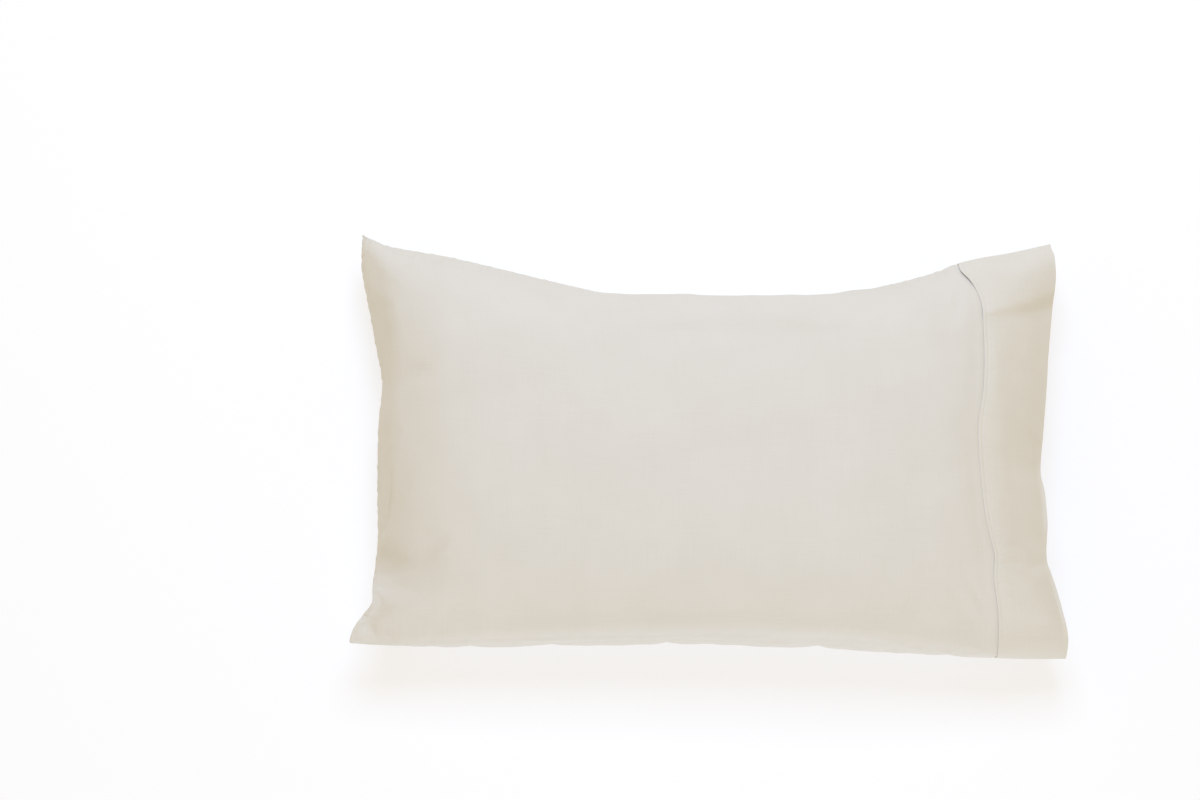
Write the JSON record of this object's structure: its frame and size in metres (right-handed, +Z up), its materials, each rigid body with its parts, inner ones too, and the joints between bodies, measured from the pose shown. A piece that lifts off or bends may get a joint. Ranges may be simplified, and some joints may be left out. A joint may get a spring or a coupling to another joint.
{
  "type": "filled pillowcase",
  "caption": "Cream cotton pillowcase with a pillow inside, pointed closed corners, drawn-in sides and a deep open cuff with a free folded lip.",
  "frame": {"origin": "on the surface that the filled case lies on, under the centre of its outline's box", "axes": "+X runs along the case from the sewn closed end to the open cuff, +Y across it towards the drawn-in upper edge, +Z up out of its face"},
  "size_m": [0.792, 0.489, 0.1986],
  "materials": {
    "cream_cotton": "smooth fine plain-woven cotton with a soft sheen",
    "cream_cotton_band": "the same cotton folded double, with a row of stitches along its lip"
  },
  "bodies": {
    "root": {"case_body": "cream_cotton", "cuff": "cream_cotton_band"}
  },
  "joints": []
}
